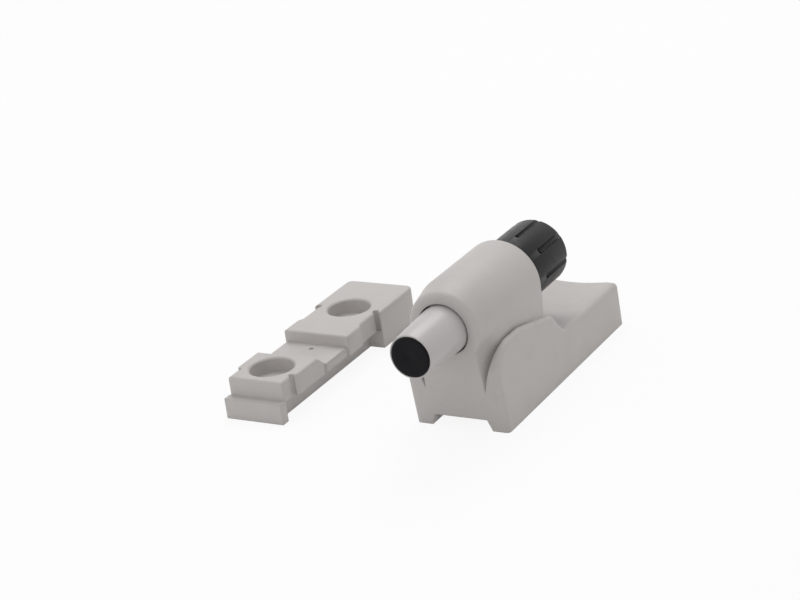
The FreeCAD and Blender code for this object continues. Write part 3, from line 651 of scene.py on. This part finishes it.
def make_flute_cutters():
    """Eight bars that cut the knob's flutes, with a ball for the pit at each front end."""
    bars = []
    for index in range(FLUTE_COUNT):
        turned = math.radians(FLUTE_TURN + 360.0 / FLUTE_COUNT * index)
        out = Vector((math.sin(turned), 0.0, math.cos(turned)))
        bar = AXIS_POINT + out * FLUTE_OUT * MM
        pick_nothing()
        bpy.ops.mesh.primitive_cylinder_add(
            vertices=FLUTE_SIDES, radius=FLUTE_RADIUS * MM, depth=FLUTE_LENGTH * MM,
            location=(bar.x, at(FLUTE_START + FLUTE_LENGTH / 2), bar.z),
            rotation=(math.pi / 2, 0, 0))
        bars.append(bpy.context.object)
        pit = AXIS_POINT + out * PIT_OUT * MM
        bpy.ops.mesh.primitive_uv_sphere_add(
            segments=FLUTE_SIDES, ring_count=PIT_RINGS, radius=PIT_RADIUS * MM,
            location=(pit.x, at(FLUTE_START), pit.z), rotation=(math.pi / 2, 0, 0))
        bars.append(bpy.context.object)
    whole = bars[0]
    for bar in bars[1:]:
        finish_with(whole, "BOOLEAN", operation="UNION", object=bar, solver="EXACT")
        bpy.data.objects.remove(bar)
    return whole


def make_spring():
    low, high = SPRING_LOW.y, SPRING_HIGH.y
    wire = SPRING_WIRE * MM / 2
    pick_nothing()
    bpy.ops.mesh.primitive_circle_add(vertices=WIRE_SIDES, radius=wire, location=(0, 0, 0),
                                      rotation=(0, math.pi / 2, 0))
    coil = bpy.context.object
    coil.name = "coil_spring"
    coil.data.name = "coil_spring"
    set_down(coil)
    bpy.ops.object.mode_set(mode="EDIT")
    bpy.ops.mesh.select_all(action="SELECT")
    bpy.ops.transform.translate(value=(0, 0, SPRING_RADIUS * MM))
    bpy.ops.object.mode_set(mode="OBJECT")
    rise = (high - low - 2 * wire) / SPRING_TURNS
    finish_with(coil, "SCREW", axis="Y", angle=2 * math.pi, screw_offset=rise,
                iterations=SPRING_TURNS, steps=STEPS_A_TURN, render_steps=STEPS_A_TURN,
                use_smooth_shade=True)
    bpy.ops.object.mode_set(mode="EDIT")
    bpy.ops.mesh.select_all(action="SELECT")
    bpy.ops.mesh.fill_holes(sides=0)
    bpy.ops.object.mode_set(mode="OBJECT")
    face_outward(coil)
    coil_low = min(vertex.co.y for vertex in coil.data.vertices)
    coil.location = (AXIS_X, low - coil_low, AXIS_Z)
    set_down(coil)
    smooth_by(coil, WIRE_SMOOTH_DEGREES)
    steel = turned_metal("spring_wire_steel", (0.45, 0.45, 0.46), 0.32)
    dress_piece(coil, steel, "spring_steel", "body", "return_spring")
    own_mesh(coil)


def dress_inner_pieces():
    brass = turned_metal("turned_brass", (0.68, 0.52, 0.26), 0.3)
    dress_nodes(brass, "rod_guide", "end_plug", "piston_retainer", "metering_spindle")
    tube = turned_metal("drawn_tube_steel", (0.56, 0.57, 0.58), 0.34)
    dress_nodes(tube, "damper_cylinder")
    rod = turned_metal("ground_rod_steel", (0.62, 0.63, 0.65), 0.16)
    dress_nodes(rod, "piston_rod")
    strip = turned_metal("spring_strip_steel", (0.42, 0.42, 0.43), 0.36)
    dress_nodes(strip, "guide_snap_ring", "foam_washer", "check_valve_disc", "retaining_clip")
    seals = black_rubber("seal_nitrile")
    dress_nodes(seals, "rod_seal", "end_plug_seal", "knob_friction_ring", "spindle_seal")
    white = inner_plastic("bearing_acetal", (0.78, 0.77, 0.73), 0.4)
    dress_nodes(white, "nose_guide_ring", "piston", "spring_seat")
    dark = inner_plastic("ring_acetal", (0.05, 0.05, 0.05), 0.42)
    dress_nodes(dark, "piston_ring")
    nylon = inner_plastic("gland_nylon", (0.15, 0.15, 0.16), 0.45)
    dress_nodes(nylon, "rear_gland")
    dress_nodes(closed_foam(), "accumulator_foam")


# Stage, light and camera.

def set_camera():
    azimuth = math.radians(CAMERA_AZIMUTH)
    elevation = math.radians(CAMERA_ELEVATION)
    lean = math.radians(CAMERA_LEAN)
    back = Vector((math.sin(azimuth) * math.cos(elevation),
                   -math.cos(azimuth) * math.cos(elevation), math.sin(elevation)))
    level = Vector((math.cos(azimuth), math.sin(azimuth), 0.0))
    upright = back.cross(level)
    right = level * math.cos(lean) - upright * math.sin(lean)
    up = level * math.sin(lean) + upright * math.cos(lean)
    place = level * CAMERA_ACROSS + upright * CAMERA_UP + back * CAMERA_DISTANCE + CAMERA_SHIFT
    bpy.ops.object.camera_add(location=place)
    camera = bpy.context.object
    camera.name = "camera"
    turn = Matrix((right, up, back)).transposed()
    camera.matrix_world = Matrix.Translation(place) @ turn.to_4x4()
    camera.data.sensor_fit = "HORIZONTAL"
    camera.data.sensor_width = SENSOR_MM
    camera.data.lens = LENS_MM
    bpy.context.scene.camera = camera


def seen_white(nodes, links):
    """1 for what the camera, a mirror or glass sees, and 0 for what lights the object."""
    path = nodes.new("ShaderNodeLightPath")
    glossy = nodes.new("ShaderNodeMath")
    glossy.operation = "MAXIMUM"
    links.new(path.outputs["Is Camera Ray"], glossy.inputs[0])
    links.new(path.outputs["Is Glossy Ray"], glossy.inputs[1])
    seen = nodes.new("ShaderNodeMath")
    seen.operation = "MAXIMUM"
    links.new(glossy.outputs["Value"], seen.inputs[0])
    links.new(path.outputs["Is Transmission Ray"], seen.inputs[1])
    return seen.outputs["Value"]


def set_floor():
    bpy.ops.mesh.primitive_plane_add(size=FLOOR_SIZE, location=(0, 0, 0))
    floor = bpy.context.object
    floor.name = "floor"
    material = bpy.data.materials.new("floor_white")
    material.use_nodes = True
    nodes = material.node_tree.nodes
    links = material.node_tree.links
    paper = nodes["Principled BSDF"]
    paper.inputs["Base Color"].default_value = (0.9, 0.9, 0.9, 1.0)
    paper.inputs["Roughness"].default_value = 0.9
    paper.inputs["Specular IOR Level"].default_value = 0.1
    glow = nodes.new("ShaderNodeEmission")
    glow.inputs["Color"].default_value = (1.0, 1.0, 1.0, 1.0)
    glow.inputs["Strength"].default_value = 1.0
    share = nodes.new("ShaderNodeMath")
    share.operation = "MULTIPLY"
    share.inputs[1].default_value = FLOOR_WHITE
    links.new(seen_white(nodes, links), share.inputs[0])
    mix = nodes.new("ShaderNodeMixShader")
    links.new(share.outputs["Value"], mix.inputs["Fac"])
    links.new(paper.outputs["BSDF"], mix.inputs[1])
    links.new(glow.outputs["Emission"], mix.inputs[2])
    links.new(mix.outputs["Shader"], nodes["Material Output"].inputs["Surface"])
    floor.data.materials.append(material)


def set_world():
    world = bpy.data.worlds.new("studio")
    bpy.context.scene.world = world
    world.use_nodes = True
    nodes = world.node_tree.nodes
    links = world.node_tree.links
    lit = nodes["Background"]
    lit.inputs["Color"].default_value = (1.0, 0.99, 0.98, 1.0)
    lit.inputs["Strength"].default_value = WORLD_LIGHT
    white = nodes.new("ShaderNodeBackground")
    white.inputs["Color"].default_value = (1.0, 1.0, 1.0, 1.0)
    mix = nodes.new("ShaderNodeMixShader")
    links.new(seen_white(nodes, links), mix.inputs["Fac"])
    links.new(lit.outputs["Background"], mix.inputs[1])
    links.new(white.outputs["Background"], mix.inputs[2])
    links.new(mix.outputs["Shader"], nodes["World Output"].inputs["Surface"])


def add_lamp(name, place, size, watts):
    bpy.ops.object.light_add(type="AREA", location=place)
    lamp = bpy.context.object
    lamp.name = name
    lamp.data.size = size
    lamp.data.energy = watts
    lamp.rotation_euler = (LIGHT_AIM - Vector(place)).to_track_quat("-Z", "Y").to_euler()


make_housing()
make_plate()
make_nose()
make_knob()
make_spring()
dress_inner_pieces()
set_camera()
set_floor()
set_world()
add_lamp("rear_light", REAR_LIGHT_PLACE, size=0.4, watts=1.45)
add_lamp("front_fill", FRONT_FILL_PLACE, size=0.6, watts=0.55)
bpy.context.scene.view_settings.view_transform = "Standard"
